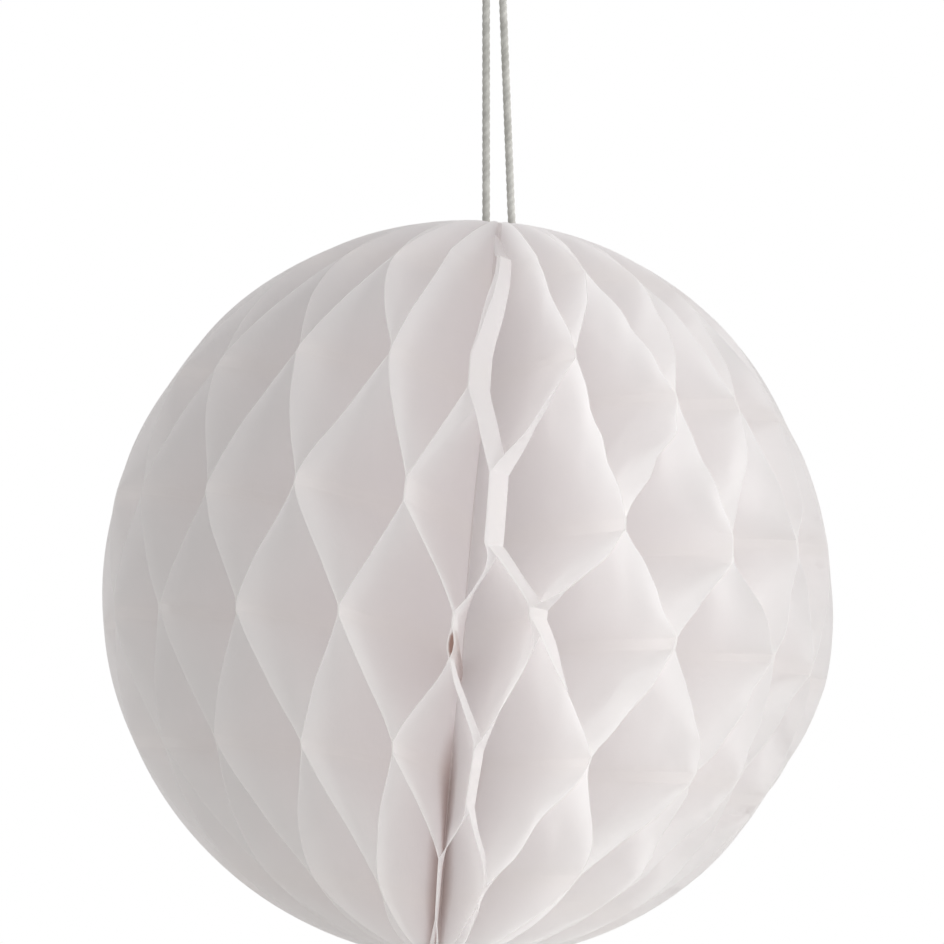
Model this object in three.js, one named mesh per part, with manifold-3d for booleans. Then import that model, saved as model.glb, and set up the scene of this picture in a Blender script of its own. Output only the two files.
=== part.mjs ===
// Honeycomb paper ornament: half-round tissue sheets, glued to each other along alternating rows and
// fanned right round their bound straight edges into a ball, which hangs on a doubled, knotted cord.
// Millimetres, +Z up as it hangs. The origin is the centre of the ball, and -Y is its front.

import * as THREE from 'three';
import { mergeVertices } from 'three/addons/utils/BufferGeometryUtils.js';
import Module from 'manifold-3d';

// Paper ball
const ballDiameter = 100;
const ballHeight = 102; // along the spine, which keeps its length while the fanned sheets draw in
const cellsAround = 20; // cells side by side round one glue row, with two sheets to a cell
const sheetThickness = 0.3;
const spineDiameter = 8; // the bound straight edges of all the sheets
const glueRowPitch = 17.1; // height from one row of glue lines to the next
const glueLineWidth = 3;
const poleMargin = 5; // no glue line lies nearer than this to the end of the spine
const frontNodeAzimuth = -91; // degrees, a glued pair at the front, in the row just under the middle
const hangTilt = 5; // degrees that the spine leans off the cord, towards +X

// How finely the sheets are drawn
const stepsBetweenRows = 3;
const stepsToPole = 4;
const foldRoundness = 0.25; // 0 is a straight zigzag, 1 a full S from row to row

// Cord
const cordDiameter = 1.1;
const cordSides = 8;
const strandSpacing = 3.6; // between the two strands where they leave the spine
const socketDepth = 4; // how far a strand reaches down into the spine
const clearance = 0.3; // between the cord and whatever it touches
const knotDiameter = 4.2;
const knotHeight = 4.6;
const knotWraps = 2; // turns of cord that show round the knot
const wrapDepth = 0.35; // groove between two turns
const stepsPerWrap = 4;
const tailLength = 8;
const tailLean = 24; // degrees that each tail leans off the vertical

// Routes of the two taut strands, as [x, height above the top of the spine]. They draw together upwards.
const leftRoute = [
  [2.65, 2], [2.65, 4.5], [2.65, 7], [2.65, 9.5], [2.65, 12], [2.65, 14.5], [2.65, 17], [2.65, 19.5],
  [2.65, 22], [2.65, 24.5], [2.65, 27], [2.65, 29.5], [2.68, 32], [2.82, 34.5], [3.15, 37.5],
];
const rightRoute = [
  [6.13, 2], [6.03, 4.5], [5.94, 7], [5.84, 9.5], [5.75, 12], [5.65, 14.5], [5.55, 17], [5.46, 19.5],
  [5.36, 22], [5.26, 24.5], [5.17, 27], [5.07, 29.5], [4.97, 32], [4.84, 34.5], [4.55, 37.5],
];

// Sizes that follow from those above
const ballRadius = ballDiameter / 2;
const halfHeight = ballHeight / 2;
const spineRadius = spineDiameter / 2;
const poleLatitude = Math.acos(spineRadius / ballRadius); // on the ball's outline, where the spine ends
const spineTop = halfHeight * Math.sin(poleLatitude);
const sheetCount = 2 * cellsAround;
const sheetAngle = (2 * Math.PI) / sheetCount;
const rowsPerHalf = Math.floor((spineTop - poleMargin - glueLineWidth / 2) / glueRowPitch + 0.5);
const firstAzimuth = THREE.MathUtils.degToRad(frontNodeAzimuth) - sheetAngle / 2;
const tilt = THREE.MathUtils.degToRad(hangTilt);
const cordRadius = cordDiameter / 2;
const socketRadius = cordRadius + clearance;

const weldDistance = 1e-4;
const wasm = await Module();
wasm.setup();

// Vertices that coincide become one, and triangles that have shrunk to a line are dropped.
function welded(geometry) {
  geometry.deleteAttribute('normal');
  geometry.deleteAttribute('uv');
  const merged = mergeVertices(geometry, weldDistance);
  const index = [];
  for (let i = 0; i < merged.index.count; i += 3) {
    const corners = [0, 1, 2].map((n) => merged.index.getX(i + n));
    if (new Set(corners).size === 3) index.push(...corners);
  }
  merged.setIndex(index);
  return merged;
}

function toSolid(geometry) {
  const { index, attributes } = welded(geometry);
  return new wasm.Manifold(
    new wasm.Mesh({
      numProp: 3,
      vertProperties: new Float32Array(attributes.position.array),
      triVerts: new Uint32Array(index.array),
    }),
  );
}

function toGeometry(solid) {
  const mesh = solid.getMesh();
  const geometry = new THREE.BufferGeometry();
  geometry.setAttribute('position', new THREE.BufferAttribute(mesh.vertProperties, 3));
  geometry.setIndex(new THREE.BufferAttribute(mesh.triVerts, 1));
  geometry.computeVertexNormals();
  return geometry;
}

// A point of the ball's own frame, with the spine upright, as it lies in the hanging ornament.
function hung(x, y, z) {
  return new THREE.Vector3(x, y, z).applyAxisAngle(new THREE.Vector3(0, 1, 0), tilt);
}

// Heights at which the sheets are drawn, from the bottom up. lean is how far the even sheets have swung
// towards the next sheet there: 1 where they are glued to it, -1 where they are glued to the one before.
// Odd sheets lean the other way. Past the last rows the free corners swing back to the middle.
function sheetLevels() {
  const levels = [];
  const rows = [];
  for (let k = -rowsPerHalf; k < rowsPerHalf; k++) {
    rows.push({ z: (k + 0.5) * glueRowPitch, lean: k % 2 === 0 ? -1 : 1 });
  }
  const half = glueLineWidth / 2;
  const capLatitude = Math.asin((rows.at(-1).z + half) / halfHeight);
  const capHeight = (share) => halfHeight * Math.sin(THREE.MathUtils.lerp(capLatitude, poleLatitude, share));
  const fold = (s) => THREE.MathUtils.lerp(s, THREE.MathUtils.smoothstep(s, 0, 1), foldRoundness);

  for (let s = stepsToPole; s > 0; s--) {
    const share = s / stepsToPole;
    levels.push({ z: -capHeight(share), lean: rows[0].lean * (1 - share) });
  }
  rows.forEach((row, k) => {
    levels.push({ z: row.z - half, lean: row.lean }, { z: row.z + half, lean: row.lean });
    if (k === rows.length - 1) return;
    for (let s = 1; s < stepsBetweenRows; s++) {
      const share = s / stepsBetweenRows;
      const z = THREE.MathUtils.lerp(row.z + half, rows[k + 1].z - half, share);
      levels.push({ z, lean: row.lean * (1 - 2 * fold(share)) });
    }
  });
  for (let s = 1; s <= stepsToPole; s++) {
    const share = s / stepsToPole;
    levels.push({ z: capHeight(share), lean: rows.at(-1).lean * (1 - share) });
  }
  return levels;
}

// Every sheet is a wall from the spine out to the ball's surface, swinging from one neighbour to the
// other with its height. Two neighbours share a wall of double thickness in their glue lines, and the
// space between them elsewhere is a cell, open at the surface and floored by the spine.
function honeycombGeometry() {
  const levels = sheetLevels();
  const positions = [];
  const triangle = (a, b, c) => positions.push(...a, ...b, ...c);
  const quad = (a, b, c, d) => {
    triangle(a, b, c);
    triangle(a, c, d);
  };
  const leanOf = (sheet, level) => (sheet % 2 === 0 ? level.lean : -level.lean);
  // side is -1 for a sheet's face towards the sheet before it and 1 for the face towards the next
  const corner = (sheet, side, level, radius) => {
    const lean = leanOf(sheet, level);
    const angle = firstAzimuth + (sheet + lean / 2) * sheetAngle;
    const across = ((side - lean) * sheetThickness) / 2;
    return [
      radius * Math.cos(angle) - across * Math.sin(angle),
      radius * Math.sin(angle) + across * Math.cos(angle),
      level.z,
    ];
  };
  const outlineRadius = (z) => ballRadius * Math.sqrt(1 - (z / halfHeight) ** 2);
  const outer = (sheet, side, level) => corner(sheet, side, level, outlineRadius(level.z));
  const inner = (sheet, side, level) => corner(sheet, side, level, spineRadius);

  for (let sheet = 0; sheet < sheetCount; sheet++) {
    const next = (sheet + 1) % sheetCount;
    for (let j = 0; j + 1 < levels.length; j++) {
      const [low, high] = [levels[j], levels[j + 1]];
      // cut edge of the sheet
      quad(outer(sheet, -1, low), outer(sheet, 1, low), outer(sheet, 1, high), outer(sheet, -1, high));
      if (leanOf(sheet, low) === 1 && leanOf(sheet, high) === 1) continue;
      // the cell between this sheet and the next: two walls and the floor at the spine
      quad(outer(sheet, 1, low), inner(sheet, 1, low), inner(sheet, 1, high), outer(sheet, 1, high));
      quad(outer(next, -1, low), outer(next, -1, high), inner(next, -1, high), inner(next, -1, low));
      quad(inner(sheet, 1, low), inner(next, -1, low), inner(next, -1, high), inner(sheet, 1, high));
    }
  }
  // ends of the spine
  const [bottom, top] = [levels[0], levels.at(-1)];
  for (let sheet = 0; sheet < sheetCount; sheet++) {
    const next = (sheet + 1) % sheetCount;
    for (const [level, turn] of [[bottom, -1], [top, 1]]) {
      const rim = [inner(sheet, -1, level), inner(sheet, 1, level), inner(next, -1, level)];
      if (turn < 0) rim.reverse();
      triangle([0, 0, level.z], rim[0], rim[1]);
      triangle([0, 0, level.z], rim[1], rim[2]);
    }
  }
  const geometry = new THREE.BufferGeometry();
  geometry.setAttribute('position', new THREE.Float32BufferAttribute(positions, 3));
  return geometry;
}

// The honeycomb, with a socket in the top of the spine for each strand of the cord
function ballGeometry() {
  let ball = toSolid(honeycombGeometry());
  for (const side of [-1, 1]) {
    const socket = new THREE.CylinderGeometry(socketRadius, socketRadius, 2 * socketDepth, cordSides);
    socket.rotateX(Math.PI / 2);
    socket.translate((side * strandSpacing) / 2, 0, spineTop);
    ball = ball.subtract(toSolid(socket));
  }
  return toGeometry(ball);
}

function cordSection() {
  const corners = [];
  for (let n = 0; n < cordSides; n++) {
    const turn = (2 * Math.PI * n) / cordSides;
    corners.push(new THREE.Vector2(cordRadius * Math.cos(turn), cordRadius * Math.sin(turn)));
  }
  return new THREE.Shape(corners);
}

// One strand, from the foot of its socket to the underside of the knot
function strandPoints(side, route) {
  const x = (side * strandSpacing) / 2;
  const inSpine = [hung(x, 0, spineTop - socketDepth + clearance), hung(x, 0, spineTop)];
  return [...inSpine, ...route.map(([along, rise]) => new THREE.Vector3(along, 0, spineTop + rise))];
}

function strandGeometry(points) {
  return new THREE.ExtrudeGeometry(cordSection(), {
    steps: points.length - 1,
    bevelEnabled: false,
    extrudePath: new THREE.CatmullRomCurve3(points),
  });
}

// A barrel of cord turns with the two ends of the cord standing out of its top
function knotGeometry() {
  const profile = [new THREE.Vector2(0, 0), new THREE.Vector2(knotDiameter / 2 - 2 * wrapDepth, 0)];
  const wrapHeight = knotHeight / knotWraps;
  const waist = knotDiameter / 2 - wrapDepth;
  for (let wrap = 0; wrap < knotWraps; wrap++) {
    for (let s = 1; s < stepsPerWrap; s++) {
      const share = s / stepsPerWrap;
      const bulge = Math.sin(Math.PI * share);
      profile.push(new THREE.Vector2(waist + wrapDepth * bulge, (wrap + share) * wrapHeight));
    }
    if (wrap + 1 < knotWraps) profile.push(new THREE.Vector2(waist, (wrap + 1) * wrapHeight));
  }
  profile.push(new THREE.Vector2(knotDiameter / 2 - 2 * wrapDepth, knotHeight), new THREE.Vector2(0, knotHeight));
  const barrel = new THREE.LatheGeometry(profile, 2 * cordSides);
  barrel.rotateX(Math.PI / 2);
  let knot = toSolid(barrel);
  for (const side of [-1, 1]) {
    const tail = new THREE.CylinderGeometry(cordRadius, cordRadius, tailLength + knotHeight / 2, cordSides);
    tail.rotateX(Math.PI / 2);
    tail.translate(0, 0, tailLength / 2 + knotHeight / 4);
    tail.rotateY(side * THREE.MathUtils.degToRad(tailLean));
    tail.translate(0, 0, knotHeight / 2);
    knot = knot.add(toSolid(tail));
  }
  return toGeometry(knot);
}

const paper = new THREE.MeshStandardMaterial({ color: 0xe6e1df, roughness: 0.95, metalness: 0 });
const cotton = new THREE.MeshStandardMaterial({ color: 0xbfbdb8, roughness: 0.9, metalness: 0 });

const ornament = new THREE.Group();

function add(name, geometry, material) {
  const mesh = new THREE.Mesh(geometry, material);
  mesh.name = name;
  ornament.add(mesh);
  return mesh;
}

const ball = add('honeycomb_ball', ballGeometry(), paper);
ball.rotation.y = tilt;

const leftPoints = strandPoints(-1, leftRoute);
const rightPoints = strandPoints(1, rightRoute);
add('cord_strand_left', strandGeometry(leftPoints), cotton);
add('cord_strand_right', strandGeometry(rightPoints), cotton);

const knot = add('cord_knot', knotGeometry(), cotton);
const strandEnds = leftPoints.at(-1).clone().add(rightPoints.at(-1)).multiplyScalar(0.5);
knot.position.copy(strandEnds).add(new THREE.Vector3(0, 0, clearance));

export default ornament;
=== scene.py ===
import math

import bpy
import numpy as np
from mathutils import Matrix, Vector


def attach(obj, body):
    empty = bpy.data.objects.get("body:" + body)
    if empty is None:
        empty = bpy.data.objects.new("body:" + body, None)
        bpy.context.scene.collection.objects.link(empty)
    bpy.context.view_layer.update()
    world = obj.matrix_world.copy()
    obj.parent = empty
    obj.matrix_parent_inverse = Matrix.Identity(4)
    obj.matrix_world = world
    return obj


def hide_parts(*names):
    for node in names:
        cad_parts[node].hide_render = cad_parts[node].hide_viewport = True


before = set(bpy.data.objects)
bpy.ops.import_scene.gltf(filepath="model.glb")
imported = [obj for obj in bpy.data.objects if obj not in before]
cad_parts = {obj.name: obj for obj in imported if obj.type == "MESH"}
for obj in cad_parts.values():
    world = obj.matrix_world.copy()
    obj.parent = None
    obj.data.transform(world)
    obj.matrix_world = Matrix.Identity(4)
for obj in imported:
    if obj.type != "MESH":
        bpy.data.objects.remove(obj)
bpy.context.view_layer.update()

mm = 0.001
scene = bpy.context.scene
scene.view_settings.view_transform = "Standard"


# sRGB hex to linear: each channel below 0.04045 is divided by 12.92, the rest follow the 2.4 power
def toLinear(hexColour):
    channels = np.array([int(hexColour[i:i + 2], 16) / 255 for i in (1, 3, 5)])
    linear = np.where(channels <= 0.04045, channels / 12.92, ((channels + 0.055) / 1.055) ** 2.4)
    return (*linear.tolist(), 1.0)


# one node: settings are its properties or socket values, links are its input sockets and what feeds them
def addNode(tree, kind, settings=None, links=None):
    node = tree.nodes.new(kind)
    for name, value in (settings or {}).items():
        if isinstance(name, str) and hasattr(node, name):
            setattr(node, name, value)
        else:
            node.inputs[name].default_value = value
    for name, source in (links or {}).items():
        tree.links.new(source, node.inputs[name])
    return node


# camera at the photograph's angle: it looks slightly up at the ball, from far off
cameraView = {
    "picture": 944,  # pixels each way
    "ballAt": (467, 590),  # pixel of the ball's centre
    "pixel": 0.13785 * mm,  # size of a pixel at the ball
    "elevation": math.radians(-6.5),
    "distance": 0.95,
    "sensor": 36.0,
    "farthest": 20,
}


# the picture's centre lies off the ball's by the pixel offset, measured along the camera's right and up
def addCamera(view):
    data = bpy.data.cameras.new("camera")
    camera = bpy.data.objects.new("camera", data)
    scene.collection.objects.link(camera)
    tilt = view["elevation"]
    forward = Vector((0, math.cos(tilt), -math.sin(tilt)))
    up = Vector((0, math.sin(tilt), math.cos(tilt)))
    middle = view["picture"] / 2
    right = Vector((1, 0, 0)) * (middle - view["ballAt"][0]) * view["pixel"]
    aim = right + up * (view["ballAt"][1] - middle) * view["pixel"]
    camera.location = aim - forward * view["distance"]
    camera.rotation_euler = forward.to_track_quat("-Z", "Y").to_euler()
    data.sensor_width = view["sensor"]
    data.lens = view["sensor"] * view["distance"] / (view["picture"] * view["pixel"])
    data.clip_end = view["farthest"]
    scene.camera = camera


addCamera(cameraView)
print("camera set")


# faces of a closed tube of rings: quads round each step, and one face over each end
def tubeFaces(rings, sides, first=0):
    ring, side = np.meshgrid(np.arange(rings - 1), np.arange(sides), indexing="ij")
    beside = (side + 1) % sides
    here = ring * sides
    ahead = here + sides
    corners = [here + side, here + beside, ahead + beside, ahead + side]
    quads = first + np.stack(corners, axis=-1).reshape(-1, 4)
    start = first + np.arange(sides)[::-1]
    end = first + (rings - 1) * sides + np.arange(sides)
    return quads.tolist() + [start.tolist(), end.tolist()]


# one object from several closed tubes, each an array of rings, sides and coordinates in metres
def addPiece(name, tubes, material, sharpAngle, values=None):
    points, faces, first = [], [], 0
    for tube in tubes:
        rings, sides = tube.shape[:2]
        faces += tubeFaces(rings, sides, first)
        points.append(tube.reshape(-1, 3))
        first += rings * sides
    mesh = bpy.data.meshes.new(name)
    mesh.from_pydata(np.concatenate(points), [], faces)
    for valueName, value in (values or {}).items():
        stored = mesh.attributes.new(valueName, "FLOAT", "POINT")
        stored.data.foreach_set("value", np.asarray(value, np.float32).ravel())
    mesh.shade_smooth()
    mesh.set_sharp_from_angle(angle=sharpAngle)
    mesh.materials.append(material)
    piece = bpy.data.objects.new(name, mesh)
    scene.collection.objects.link(piece)
    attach(piece, "root")
    print(name, "has", sum(len(face) - 2 for face in faces), "triangles")
    return piece


# twisted cotton: matt plies, with fine fibres that break up the light and uneven soiling
def cottonMaterial():
    look = {
        "light": "#D0CFCA",
        "dark": "#B5B4AF",
        "roughness": 0.92,
        "gloss": 0.25,
        "fibre": 0.35 * mm,
        "fuzz": 0.05 * mm,  # how far the fibres stand out
        "fuzzStrength": 0.5,
        "soil": 2.5 * mm,
        "soilFrom": 0.3,
        "soilTo": 0.7,
    }
    material = bpy.data.materials.new("twistedCotton")
    material.use_nodes = True
    tree = material.node_tree
    shader = tree.nodes["Principled BSDF"]
    shader.inputs["Roughness"].default_value = look["roughness"]
    shader.inputs["Specular IOR Level"].default_value = look["gloss"]
    place = addNode(tree, "ShaderNodeTexCoord").outputs["Object"]
    fibre = addNode(tree, "ShaderNodeTexNoise", {"Scale": 1 / look["fibre"], "Detail": 3}, {"Vector": place})
    soil = addNode(tree, "ShaderNodeTexNoise", {"Scale": 1 / look["soil"], "Detail": 2}, {"Vector": place})
    tone = addNode(tree, "ShaderNodeValToRGB", links={"Fac": soil.outputs["Fac"]})
    tone.color_ramp.elements[0].position = look["soilFrom"]
    tone.color_ramp.elements[1].position = look["soilTo"]
    tone.color_ramp.elements[0].color = toLinear(look["dark"])
    tone.color_ramp.elements[1].color = toLinear(look["light"])
    fuzz = {"Strength": look["fuzzStrength"], "Distance": look["fuzz"]}
    bump = addNode(tree, "ShaderNodeBump", fuzz, {"Height": fibre.outputs["Fac"]})
    tree.links.new(tone.outputs["Color"], shader.inputs["Base Color"])
    tree.links.new(bump.outputs["Normal"], shader.inputs["Normal"])
    return material


# the ball's frame, in mm: the spine leans towards +X
ball = {
    "diameter": 100.0,
    "height": 102.0,
    "cells": 20,  # round one glue row, with two sheets to a cell
    "spine": 8.0,
    "rowPitch": 17.1,
    "rows": 6,
    "frontNode": math.radians(-91),  # a glued pair at the front, in the row just under the middle
    "lean": math.radians(5),
}
radius = ball["diameter"] / 2
halfHeight = ball["height"] / 2
spineRadius = ball["spine"] / 2
poleLatitude = math.acos(spineRadius / radius)
spineTop = halfHeight * math.sin(poleLatitude)


# points of the upright ball turn about Y by the lean
def hung(points):
    x, y, z = np.moveaxis(np.asarray(points, float), -1, 0)
    along = math.cos(ball["lean"])
    aside = math.sin(ball["lean"])
    return np.stack([x * along + z * aside, y, z * along - x * aside], axis=-1)


# cord: a doubled strand that leaves the top of the spine and is knotted above the picture
cord = {
    "diameter": 1.1,
    "spacing": 3.6,  # between the strands where they leave the spine
    "socket": 3.7,  # how far a strand reaches down into the spine
    "plies": 3,
    "layLength": 3.4,  # a ply's full turn
    "groove": 0.16,  # depth between plies, as a share of the radius
    "step": 0.16,
    "sides": 18,
    "firstAcross": (0.3, 1, 0.2),  # any direction off the line, to start the rings from
    "sharpAngle": math.radians(60),
    "length": 41.5 * mm,
    # each strand's way up, as x and the height above the top of the spine: straight, then bent to the knot
    "straight": {"Left": ((2.65, 2), (2.65, 29.5)), "Right": ((6.131, 2), (5.071, 29.5))},
    "bent": {
        "Left": ((2.68, 32), (2.82, 34.5), (3.15, 37.5)),
        "Right": ((4.97, 32), (4.84, 34.5), (4.55, 37.5)),
    },
    "straightPoints": 12,
    "digits": 2,  # places are good to a hundredth of a mm
    "frayOver": 1.0,  # length of a cut end that widens
}


# how far along a line each of its points lies
def lengthsAlong(points):
    return np.concatenate([[0], np.cumsum(np.linalg.norm(np.diff(points, axis=0), axis=1))])


# a smooth line through points: a cubic on each span, whose end slopes are the mean slopes there
def smoothLine(points, step):
    along = lengthsAlong(points)
    slope = np.gradient(points, along, axis=0)
    at = np.linspace(0, along[-1], int(along[-1] / step) + 1)
    span = np.clip(np.searchsorted(along, at, side="right") - 1, 0, len(along) - 2)
    width = (along[span + 1] - along[span])[:, None]
    s = (at - along[span])[:, None] / width
    ends = points[span] * (1 + 2 * s) * (1 - s) ** 2 + points[span + 1] * s * s * (3 - 2 * s)
    return ends + width * (slope[span] * s * (1 - s) ** 2 + slope[span + 1] * s * s * (s - 1))


# twisted tube along a line: the section is round with a groove between plies, and turns once each lay length.
# Each ring's axes are the last ring's, less what lies along the new direction.
def twistedTube(line, fray=0.0):
    along = lengthsAlong(line)
    ahead = np.gradient(line, along, axis=0)
    ahead /= np.linalg.norm(ahead, axis=1, keepdims=True)
    across = np.zeros_like(line)
    last = np.cross(ahead[0], cord["firstAcross"])
    for i, direction in enumerate(ahead):
        last = last - direction * (last @ direction)
        last /= np.linalg.norm(last)
        across[i] = last
    over = np.cross(ahead, across)
    angle = np.linspace(0, 2 * math.pi, cord["sides"], endpoint=False)[None, :]
    turn = angle - 2 * math.pi * along[:, None] / cord["layLength"]
    lobe = np.abs(np.cos(turn * cord["plies"] / 2))
    size = cord["diameter"] / 2 * (1 - cord["groove"] + cord["groove"] * lobe)
    nearEnd = np.clip((along[:, None] - along[-1]) / cord["frayOver"] + 1, 0, 1)
    size *= 1 + fray * nearEnd ** 2
    ring = across[:, None] * np.cos(angle)[..., None] + over[:, None] * np.sin(angle)[..., None]
    return (line[:, None] + ring * size[..., None]) * mm


# a strand starts in its socket in the leaning spine, and then follows its route
def strandLine(sideName, side):
    x = side * cord["spacing"] / 2
    inSpine = hung([(x, 0, spineTop - cord["socket"]), (x, 0, spineTop)])
    straight = np.round(np.linspace(*cord["straight"][sideName], cord["straightPoints"]), cord["digits"])
    route = np.concatenate([straight, cord["bent"][sideName]])
    above = [(across, 0, spineTop + rise) for across, rise in route]
    return np.concatenate([inSpine, above])


cotton = cottonMaterial()
strandPoints = {"Left": strandLine("Left", -1), "Right": strandLine("Right", 1)}
for sideName, points in strandPoints.items():
    line = smoothLine(points, cord["step"])
    strand = addPiece("cordStrand" + sideName, [twistedTube(line)], cotton, cord["sharpAngle"])
    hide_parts("cord_strand_" + sideName.lower())

# knot: the two strands cross inside two turns of cord and come out of the top as tails
knot = {
    "height": 4.6,
    "diameter": 4.2,
    "gap": 0.3,  # under the knot
    "overlap": 0.4,  # how far a strand runs on from below its end
    "crossing": (-0.45, 0.2, 0.5),  # off the knot's foot, where a strand crosses to the other side
    "apart": 0.35,  # of the strands, front to back, in the knot's middle
    "tail": 8.0,
    "tailLean": math.radians(24),
    "tailDrift": 0.12,  # how much nearer front to back the tails come at each of their points
    "tailPoints": 3,
    "fray": 0.25,  # how much wider a cut end is
    "turns": 2.3,
    "turnPoints": 24,
    "tuckedIn": 0.45,  # of the turns' radius, at their two ends
    "tuckOver": 0.08,  # of the turns' length
}


# a tail's strand crosses under the turns and leaves at its lean. The turns are a helix round the foot's axis,
# whose two ends tuck in towards the axis.
def knotTubes():
    ends = [strandPoints[sideName][-1] for sideName in ("Left", "Right")]
    foot = (ends[0] + ends[1]) / 2 + (0, 0, knot["gap"])
    tailSteps = np.arange(1, knot["tailPoints"] + 1)[:, None]
    reach = (knot["height"] / 2 + knot["tail"]) / knot["tailPoints"]
    tubes = []
    for end, side in zip(ends, (1, -1)):
        out = np.array((side * math.sin(knot["tailLean"]), 0, math.cos(knot["tailLean"])))
        middle = foot + (0, side * knot["apart"], knot["height"] / 2)
        tail = middle + tailSteps * (out * reach - (0, side * knot["tailDrift"], 0))
        below = end - (0, 0, knot["overlap"])
        crossing = foot + np.array(knot["crossing"]) * (side, side, 1)
        route = np.concatenate([[below, crossing, middle], tail])
        tubes.append(twistedTube(smoothLine(route, cord["step"]), knot["fray"]))
    share = np.linspace(0, 1, knot["turnPoints"])
    tuck = np.clip(np.minimum(share, 1 - share) / knot["tuckOver"], 0, 1)
    wide = (knot["diameter"] - cord["diameter"]) / 2 * (knot["tuckedIn"] + (1 - knot["tuckedIn"]) * tuck)
    angle = 2 * math.pi * knot["turns"] * share
    rise = cord["diameter"] / 2 + (knot["height"] - cord["diameter"]) * share
    helix = np.stack([wide * np.cos(angle), wide * np.sin(angle), rise], axis=1)
    tubes.append(twistedTube(smoothLine(foot + helix, cord["step"])))
    return tubes


cordKnot = addPiece("cordKnot", knotTubes(), cotton, cord["sharpAngle"])
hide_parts("cord_knot")
print("cords and knot made")


# white tissue: thin matt paper that sends more than half of the light on, so that each sheet glows from
# behind. A sheet scatters light once, where it comes in: the inner side of its far face lets that light out
# as it is. Glue tints the paper in the rows; painted shade darkens it in the front slit and low by the spine.
def tissueMaterial():
    look = {
        "paper": "#FBF9F9",
        "glued": "#FBF9F8",
        # painted shade: the dark of the deep wedges by the spine, in the front slit and on the core
        "bound": "#B89C93",
        "through": 0.62,
        "roughness": 0.85,
        "gloss": 0.2,
        "fibre": 1.2 * mm,  # clumps of fibres are finer, and drawn this coarse to show
        "relief": 0.1 * mm,
        "reliefStrength": 0.35,
    }
    material = bpy.data.materials.new("whiteTissuePaper")
    material.use_nodes = True
    tree = material.node_tree
    shader = tree.nodes["Principled BSDF"]
    shader.inputs["Roughness"].default_value = look["roughness"]
    shader.inputs["Specular IOR Level"].default_value = look["gloss"]
    place = addNode(tree, "ShaderNodeTexCoord").outputs["Object"]
    fibre = addNode(tree, "ShaderNodeTexNoise", {"Scale": 1 / look["fibre"], "Detail": 1}, {"Vector": place})
    relief = {"Strength": look["reliefStrength"], "Distance": look["relief"]}
    bump = addNode(tree, "ShaderNodeBump", relief, {"Height": fibre.outputs["Fac"]}).outputs["Normal"]
    glue = addNode(tree, "ShaderNodeAttribute", {"attribute_name": "glue"}).outputs["Fac"]
    # how much painted shade each point of the paper takes
    bound = addNode(tree, "ShaderNodeAttribute", {"attribute_name": "bound"}).outputs["Fac"]
    # a mix of colours takes its share at socket 0, its colours at 6 and 7, and gives its result at 2
    dabbed = addNode(
        tree, "ShaderNodeMix",
        {"data_type": "RGBA", 6: toLinear(look["paper"]), 7: toLinear(look["glued"])}, {0: glue},
    ).outputs[2]
    # the painted shade mixes its dark colour into the paper's
    colour = addNode(
        tree, "ShaderNodeMix",
        {"data_type": "RGBA", 7: toLinear(look["bound"])}, {0: bound, 6: dabbed},
    ).outputs[2]
    tree.links.new(colour, shader.inputs["Base Color"])
    tree.links.new(bump, shader.inputs["Normal"])
    through = addNode(tree, "ShaderNodeBsdfTranslucent", None, {"Color": colour, "Normal": bump})
    both = addNode(
        tree, "ShaderNodeMixShader", {0: look["through"]}, {1: shader.outputs[0], 2: through.outputs[0]})
    inner = addNode(tree, "ShaderNodeNewGeometry").outputs["Backfacing"]
    clear = addNode(tree, "ShaderNodeBsdfTransparent")
    sheet = addNode(tree, "ShaderNodeMixShader", None, {0: inner, 1: both.outputs[0], 2: clear.outputs[0]})
    tree.links.new(sheet.outputs[0], tree.nodes["Material Output"].inputs["Surface"])
    return material


# sheets: each swings from one neighbour to the other at every glue row
sheets = {
    "thickness": 0.08,  # tissue is a little thinner still
    "crowded": 0.09,  # the thickness at most, as a share of the distance from the axis
    "glueGap": 0.02,
    "glueLine": 1.4,
    "glueShortest": 0.75,  # of the glue line
    "glueLongest": 1.3,
    "roundness": 0.15,  # 0 is a straight zigzag between rows
    "stepsInRow": 7,
    "stepsBetween": 12,
    "stepsToPole": 12,
    "stepsOut": 18,
    "stepSpread": 0.5,  # under 1, the steps out are shorter towards the edge
    "inner": 1.2,  # the bound edges meet in the spine
    "sharpAngle": math.radians(30),  # crumples stay soft, and the cut edges sharp
    "turnSlip": math.radians(0.7),  # how unevenly the pairs are glued
    "riseSlip": 0.55,
    "rimSlip": 0.15,
    "rightBulge": {"F": 0.4, "E": 0.0, "D": 0.9, "C": 0.2, "B": -1.0, "A": 0.0},  # of each row's rim
    "bulgeFocus": 6,  # the higher, the closer it keeps to the right
    "wellSeen": 6,  # pairs to either side of the front that have no slip but the front's own
    "lip": -0.35,  # edges left of the front curl over a little, to the left
    "lipSlip": 0.12,
    "lipWidth": 2.6,
    "straightTo": "C",  # up to this row, edges that rise to the right stay straight but for their ends
    "straightness": 5,
    "crinkle": 0.3,
    "crumple": 2.2,  # added on the right, where the paper has been crushed a little
    "waves": 9,  # that a crinkled sheet adds up, and the range of their lengths
    "shortestWave": 5,
    "longestWave": 20,
    "heldFlat": 4,  # the higher, the closer to the glue a crinkle starts
    "dab": 1.8,  # glue spreads this far from the middle of a row
    "glueTint": 0.5,
    # painted shade in the deep wedges by the spine, low down, and in the front slit
    "boundDepth": 5.0,  # painted shade reaches this far out from the spine
    "shadeStrength": 0.35,
    "shadeFrom": -18.0,  # below this height, and fully a little further down
    "shadeOver": 10.0,
    "seed": 7,
}
rowNames = "FEDCBA"  # glue rows from the lowest
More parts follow.
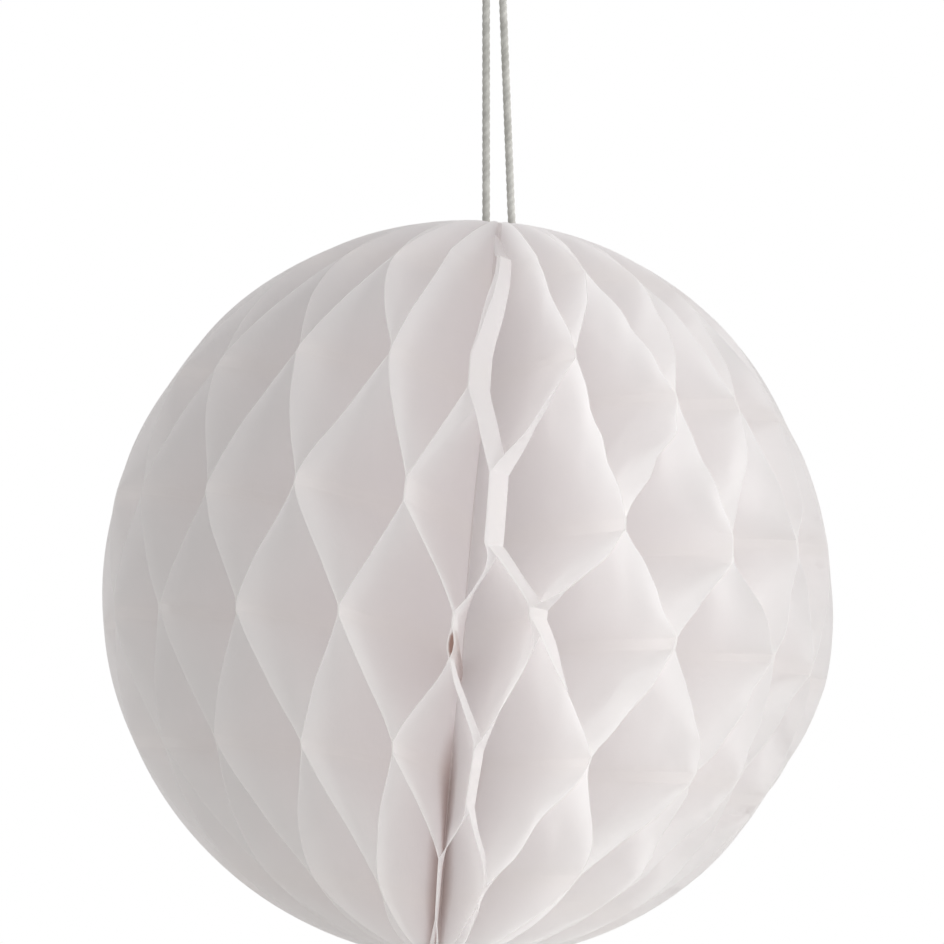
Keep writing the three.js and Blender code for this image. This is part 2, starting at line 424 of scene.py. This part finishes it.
# glued pairs at the front, by row and by number from the front: how far each is off its even place, turned in
# degrees and raised, and for some half the height of the paper that is stuck together
pairs = {
    "B": {-4: (1.4, 1.5), -2: (2.0, 1.5), 0: (2.4, -0.7, 2.4), 2: (-0.2, 3.2), 4: (1.4, -0.7)},
    "C": {-5: (0.9, -1.2), -1: (0, -0.6, 1.7), 1: (-2.4, -2.2, 4.7), 3: (-1.4, -2.3), 5: (1.1, -3.7)},
    "D": {0: (0.3, -2.2, 3.0), 2: (-3.2, 1.8), 6: (4.0, 0.3)},
    "E": {-3: (1.3, -0.3), 1: (-1.9, -2.8, 3.5), 3: (-0.8, 0.6), 5: (4.3, 0.4)},
    "F": {-2: (2.2, -0.7), 0: (0.4, 0, 3.8), 2: (-2.7, -0.4), 4: (0.4, 2.8)},
}
# where the ball was closed, its two end sheets cling together at the top and stay in from the outline there
seam = {
    "topTurn": {-1: -12.9, 0: 4.4, 1: 5.4, 2: 12.5},  # sheet by number: degrees from the front in the top row
    "poleTurn": {-1: -3.0, 0: 3.0, 1: 4.0, 2: 6.0},  # and at the top of the spine
    "sunk": (0, 1),
    "depth": 11.0,
    "topLip": -1.8,  # how far their edges are bent over, to the left
    # and the edges of the pairs below them, by row and number
    "lip": {"B": {0: -2.9}, "C": {1: -2.7}, "D": {0: -0.5, 2: -3.1}, "E": {1: -1.5}, "F": {2: -1.0}},
    "slitRow": "D",  # the front pair here gapes a little
    "slitWide": 0.8,
    "slitMiddle": -0.37,  # in halves of the stuck height
    "slitHalf": 0.62,
}


# levels up a sheet: the row below, the row above, the share of the way between them, and the place in a glue
# line. The poles count as the row before the first and the one past the last.
def sheetLevels():
    rows = ball["rows"]
    levels = [(-1, 0, share, 0) for share in np.arange(sheets["stepsToPole"]) / sheets["stepsToPole"]]
    for row in range(rows):
        levels += [(row, row, 0, place) for place in np.linspace(-1, 1, sheets["stepsInRow"])]
        isLast = row + 1 == rows
        count = sheets["stepsToPole"] if isLast else sheets["stepsBetween"]
        levels += [(row, row + 1, share, 0) for share in np.arange(1, count + isLast) / count]
    return np.array(levels)


# crinkles: the sum of a few waves across each sheet, with a crest as sharp as a crease, in random directions
def crinkles(out, up, random):
    shape = (sheets["waves"], len(out), 1, 1)
    length = random.uniform(sheets["shortestWave"], sheets["longestWave"], shape)
    heading = random.uniform(0, math.pi, shape)
    start = random.uniform(0, 2 * math.pi, shape)
    phase = 2 * math.pi * (out * np.cos(heading) + up * np.sin(heading)) / length + start
    crest = np.arcsin(np.sin(phase)) * 2 / math.pi * length / sheets["longestWave"]
    return crest.sum(axis=0) / math.sqrt(sheets["waves"])


# slips of every glued pair, as arrays of row by pair: uneven all round, and as the front shows it there
def pairSlips(random, count):
    shape = (ball["rows"], count)
    turn = random.normal(0, sheets["turnSlip"], shape)
    rise = random.normal(0, sheets["riseSlip"], shape)
    half = sheets["glueLine"] / 2 * random.uniform(sheets["glueShortest"], sheets["glueLongest"], shape)
    fromFront = (np.arange(count) + count // 2) % count - count // 2
    turn[:, np.abs(fromFront) <= sheets["wellSeen"]] = 0
    rise[:, np.abs(fromFront) <= sheets["wellSeen"]] = 0
    for rowName, row in pairs.items():
        for number, slip in row.items():
            at = (rowNames.index(rowName), number)
            turn[at] = math.radians(slip[0])
            rise[at] = slip[1]
            half[at] = slip[2] if len(slip) > 2 else half[at]
    return turn, rise, half


# a seam sheet's angle: sheets left of the front have negative numbers, and come last in the turn
def seamAngle(sheet, degrees):
    return math.radians(degrees - 90) + (2 * math.pi if sheet < 0 else 0)


# each sheet at each glue row and at the poles, as arrays of sheet by row: its angle and height, half its glue
# line, which neighbour it leans to, how far it gapes there, and how far its edge bulges out and is bent over
def sheetRows(random):
    rows = ball["rows"]
    count = 2 * ball["cells"]
    step = 2 * math.pi / count
    first = ball["frontNode"] - step / 2
    number = np.arange(count)[:, None]
    row = np.arange(rows)[None, :]
    lean = np.where((number + row + rows // 2) % 2 == 1, 1, -1)  # 1 is glued to the next sheet
    pair = np.where(lean > 0, number, number - 1) % count
    turnSlip, riseSlip, half = (slip[row, pair] for slip in pairSlips(random, count))
    turn = first + (number + lean / 2) * step + turnSlip
    for sheet, degrees in seam["topTurn"].items():
        turn[sheet, -1] = seamAngle(sheet, degrees)
    up = (row - (rows - 1) / 2) * ball["rowPitch"] + riseSlip
    slit = np.where((row == rowNames.index(seam["slitRow"])) & (pair == 0), seam["slitWide"], 0)
    onRight = np.clip(np.cos(turn), 0, 1) ** sheets["bulgeFocus"]
    bulge = np.array([sheets["rightBulge"][name] for name in rowNames]) * onRight
    bulge = bulge + random.normal(0, sheets["rimSlip"], bulge.shape)
    lip = sheets["lip"] * np.clip(np.sin(2 * turn), 0, 1) * (np.cos(turn) < 0)
    lip = lip + random.normal(0, sheets["lipSlip"], (rows, count))[row, pair]
    for rowName, bends in seam["lip"].items():
        at = rowNames.index(rowName)
        for bentPair, bend in bends.items():
            lip[pair[:, at] == bentPair, at] = bend
    lip[list(seam["sunk"]), -1] = seam["topLip"]

    still = np.zeros((count, 1))
    middle = first + number * step
    turn = np.concatenate([middle, turn, middle], axis=1)
    for sheet, degrees in seam["poleTurn"].items():
        turn[sheet, -1] = seamAngle(sheet, degrees)
    up = np.concatenate([still - spineTop, up, still + spineTop], axis=1)
    others = {"half": half, "lean": lean, "slit": slit, "bulge": bulge, "lip": lip}
    withPoles = {name: np.concatenate([still, value, still], axis=1) for name, value in others.items()}
    return {"turn": turn, "up": up, **withPoles}


# a sheet spans from the spine to the ball's outline at every level, at an angle that goes from row to row.
# Its points are out along that angle, up, and across it by the crinkles and by its place in a glued pair.
def sheetTubes():
    random = np.random.default_rng(sheets["seed"])
    atRow = sheetRows(random)
    low, high, share, place = sheetLevels().T
    low = low.astype(int) + 1
    high = high.astype(int) + 1
    inRow = low == high
    atPole = (low == 0) | (high == ball["rows"] + 1)
    lowHalf = atRow["half"][:, low]
    bottom = atRow["up"][:, low] + np.where(inRow, place * lowHalf, lowHalf)
    top = atRow["up"][:, high] - atRow["half"][:, high]
    latitude = np.arcsin(bottom / halfHeight) * (1 - share) + np.arcsin(top / halfHeight) * share
    up = np.where(atPole, halfHeight * np.sin(latitude), bottom + (top - bottom) * share)
    up = np.where(inRow, bottom, up)
    bend = sheets["roundness"]
    fold = np.where(atPole, share, share * (1 - bend) + share * share * (3 - 2 * share) * bend)

    # a value between the rows: a power over 1 makes it fall off sooner from each of them
    def between(name, power=1):
        return atRow[name][:, low] * (1 - fold) ** power + atRow[name][:, high] * fold ** power

    turn = between("turn")[..., None]
    swing = between("lean")[..., None]
    opened = np.clip(1 - ((place - seam["slitMiddle"]) / seam["slitHalf"]) ** 2, 0, 1)
    gape = np.where(inRow, atRow["slit"][:, low] * opened, 0)[..., None]

    # from the spine out to the ball's outline
    rim = radius * np.sqrt(np.clip(1 - (up / halfHeight) ** 2, 0, 1))
    rim = rim + between("bulge") * rim / radius
    topRow = atRow["up"][:, -2:-1]
    towardsTop = np.clip((up - topRow) / (spineTop - topRow), 0, 1)
    isSunk = np.isin(np.arange(len(rim)), seam["sunk"])[:, None]
    sunkRim = np.maximum(rim - seam["depth"] * np.sqrt(towardsTop), spineRadius / 2)
    rim = np.where(isSunk, sunkRim, rim)[..., None]
    spread = np.linspace(0, 1, sheets["stepsOut"]) ** sheets["stepSpread"]
    out = sheets["inner"] + (rim - sheets["inner"]) * spread
    tall = np.broadcast_to(up[..., None], out.shape)

    # across: crinkles where the paper is free, the bent edge, and half a glued pair
    free = 1 - np.abs(swing) ** sheets["heldFlat"]
    rough = sheets["crinkle"] + sheets["crumple"] * np.clip(np.cos(turn), 0, 1)
    wave = rough * crinkles(out, tall, random) * free * out / radius
    isStraight = (atRow["lean"][:, low] < 0) & (high <= rowNames.index(sheets["straightTo"]) + 1)
    curl = between("lip", np.where(isStraight, sheets["straightness"], 1))[..., None]
    wave = wave + curl * np.clip(1 - (rim - out) / sheets["lipWidth"], 0, 1)
    thick = np.minimum(sheets["thickness"], sheets["crowded"] * out)
    centre = wave - swing * (thick + sheets["glueGap"] + gape) / 2

    # a ring goes out along one face of the sheet and back along the other
    def face(side):
        across = centre + side * thick / 2
        x = out * np.cos(turn) - across * np.sin(turn)
        y = out * np.sin(turn) + across * np.cos(turn)
        return np.stack([x, y, tall], axis=-1)

    nearRow = np.min(np.abs(up[..., None] - atRow["up"][:, None, 1:-1]), axis=-1)[..., None]
    glue = np.broadcast_to(sheets["glueTint"] * np.exp(-(nearRow / sheets["dab"]) ** 2), out.shape)
    # painted shade: darker low down and near the spine, where the wedges between the sheets lie in shadow
    shadeStrength = sheets["shadeStrength"] * np.clip((sheets["shadeFrom"] - tall) / sheets["shadeOver"], 0, 1)
    bound = np.clip(1 - (out - spineRadius / 2) / sheets["boundDepth"], 0, 1) ** 2 * shadeStrength

    # the two faces of the slit take the full painted shade as well
    def paintedShadeFace(side):
        inSlit = (gape * swing * side > 0) & (out < rim - sheets["thickness"])
        return np.maximum(bound, inSlit)

    points, boundFaces = (
        np.concatenate([each(-1), each(1)[:, :, ::-1]], axis=2) for each in (face, paintedShadeFace))
    glueFaces = np.concatenate([glue, glue[:, :, ::-1]], axis=2)
    return hung(points) * mm, glueFaces, boundFaces


tissue = tissueMaterial()
sheetPoints, gluedPaper, boundPaper = sheetTubes()
halfBall = ball["cells"]
for pieceName, firstSheet in (("tissueFront", -halfBall // 2), ("tissueBack", halfBall // 2)):
    own = np.arange(firstSheet, firstSheet + halfBall)
    values = {"glue": gluedPaper[own], "bound": boundPaper[own]}
    paper = addPiece(pieceName, list(sheetPoints[own]), tissue, sheets["sharpAngle"], values)
    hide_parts("honeycomb_ball")

# spine: the bound edges of the sheets, pressed and glued into a fluted core that is thicker at its ends
spine = {
    "flutes": 40,
    "fluteDepth": 0.06,
    "sides": 160,
    "steps": 60,
    "waist": 1.6,
    "end": 3.7,
    "endHeight": 6.0,
    # share of the painted shade on the core
    "shadeStrength": 0.1,
    "sharpAngle": math.radians(50),
}


# a round section with a wave of flutes, whose radius goes from the end's to the waist's over the end's height
def spineTube():
    up = np.linspace(-1, 1, spine["steps"]) * spineTop
    fromEnd = np.clip((spineTop - np.abs(up)) / spine["endHeight"], 0, 1)
    angle = np.linspace(0, 2 * math.pi, spine["sides"], endpoint=False)
    flute = spine["fluteDepth"] * np.cos(spine["flutes"] * angle)[None, :]
    size = (spine["end"] + (spine["waist"] - spine["end"]) * fromEnd)[:, None] + flute
    points = [size * np.cos(angle), size * np.sin(angle), np.broadcast_to(up[:, None], size.shape)]
    return hung(np.stack(points, axis=-1)) * mm


spinePoints = spineTube()
# the core takes a little of the painted shade
spineShade = {"bound": np.full(spinePoints.shape[:2], spine["shadeStrength"])}
addPiece("paperSpine", [spinePoints], tissue, spine["sharpAngle"], spineShade)
print("paper ball made")

# floor far below the hanging ball, in metres
floor = {"drop": 0.32, "half": 4.0, "colour": "#E6E6E3", "roughness": 0.9}


# matt pale paint, with no mark on it
def floorMaterial():
    material = bpy.data.materials.new("paleFloor")
    material.use_nodes = True
    shader = material.node_tree.nodes["Principled BSDF"]
    shader.inputs["Base Color"].default_value = toLinear(floor["colour"])
    shader.inputs["Roughness"].default_value = floor["roughness"]
    return material


floorMesh = bpy.data.meshes.new("floor")
floorCorners = ((-1, -1), (1, -1), (1, 1), (-1, 1))
floorPoints = [(x * floor["half"], y * floor["half"], -floor["drop"]) for x, y in floorCorners]
floorMesh.from_pydata(floorPoints, [], [(0, 1, 2, 3)])
floorMesh.materials.append(floorMaterial())
floorPiece = bpy.data.objects.new("floor", floorMesh)
scene.collection.objects.link(floorPiece)

# soft studio light: a room that is brighter on the right, and broad lamps at the right, to either side of
# the front and behind. The seep is a weak lamp that no sheet shades, for the light that works its way
# through the ball.
lighting = {
    "white": "#FFFFFF",
    "towards": (1, 0.25, -0.2),  # the brightest side of the room
    "dim": 0.3,  # the room's light on the other side
    "bright": 0.78,
    "key": {"at": (0.85, 0.1, -0.3), "size": 1.0, "watts": 5.2, "shadow": True},
    "seep": {"at": (0.88, 0.2, -0.15), "size": 0.6, "watts": 0.75, "shadow": False},
    "fill": {"at": (-0.7, -0.7, 0), "size": 0.6, "watts": 1.1, "shadow": True},
    "front": {"at": (0.7, -0.6, 0.1), "size": 0.8, "watts": 3.0, "shadow": True},
    "back": {"at": (-0.35, 0.85, 0.15), "size": 0.6, "watts": 1.1, "shadow": True},
    "bounces": 3,  # after these, light counts as the room's own
    "reach": 0.01 * mm,  # only a sheet nearer than this shades it then
    "deep": 0.95,  # the share of the room's light that counts then
}


def addLamp(name, lamp):
    data = bpy.data.lights.new(name, "AREA")
    data.shape = "DISK"
    data.size = lamp["size"]
    data.energy = lamp["watts"]
    data.use_shadow = lamp["shadow"]
    light = bpy.data.objects.new(name, data)
    light.location = lamp["at"]
    light.rotation_euler = (-Vector(lamp["at"])).to_track_quat("-Z", "Y").to_euler()
    scene.collection.objects.link(light)


for lampName in ("key", "seep", "fill", "front", "back"):
    addLamp(lampName, lighting[lampName])


# the room lights the ball by the side that a ray leaves for, and shows as plain white to the eye, gloss and
# glass. A ray that left a matt face, or came through one, only sees the room's own light.
def addRoom():
    world = bpy.data.worlds.new("room")
    scene.world = world
    world.use_nodes = True
    world.cycles.sampling_method = "NONE"  # the room is too even to need a map of its light
    tree = world.node_tree
    lit = tree.nodes["Background"]
    lit.inputs["Color"].default_value = toLinear(lighting["white"])
    way = addNode(tree, "ShaderNodeTexCoord").outputs["Generated"]
    brightest = Vector(lighting["towards"]).normalized()
    side = addNode(tree, "ShaderNodeVectorMath", {"operation": "DOT_PRODUCT", 1: brightest}, {0: way})
    level = addNode(
        tree, "ShaderNodeMapRange",
        {"From Min": -1, "From Max": 1, "To Min": lighting["dim"], "To Max": lighting["bright"]},
        {"Value": side.outputs["Value"]},
    )
    tree.links.new(level.outputs[0], lit.inputs["Strength"])
    seen = addNode(tree, "ShaderNodeBackground", {"Color": toLinear(lighting["white"]), "Strength": 1.0})
    ray = addNode(tree, "ShaderNodeLightPath").outputs
    gloss = addNode(
        tree, "ShaderNodeMath", {"operation": "MAXIMUM"}, {0: ray["Is Camera Ray"], 1: ray["Is Glossy Ray"]})
    clear = addNode(
        tree, "ShaderNodeMath", {"operation": "MAXIMUM"},
        {0: gloss.outputs[0], 1: ray["Is Transmission Ray"]},
    )
    shown = addNode(
        tree, "ShaderNodeMath", {"operation": "SUBTRACT", "use_clamp": True},
        {0: clear.outputs[0], 1: ray["Is Diffuse Ray"]},
    )
    both = addNode(
        tree, "ShaderNodeMixShader", None, {0: shown.outputs[0], 1: lit.outputs[0], 2: seen.outputs[0]})
    tree.links.new(both.outputs[0], tree.nodes["World Output"].inputs["Surface"])


addRoom()
scene.cycles.use_light_tree = False  # quicker with few lamps
scene.cycles.use_fast_gi = True
scene.cycles.fast_gi_method = "REPLACE"
scene.cycles.ao_bounces_render = lighting["bounces"]
scene.world.light_settings.distance = lighting["reach"]
scene.world.light_settings.ao_factor = lighting["deep"]
print("floor and light set")
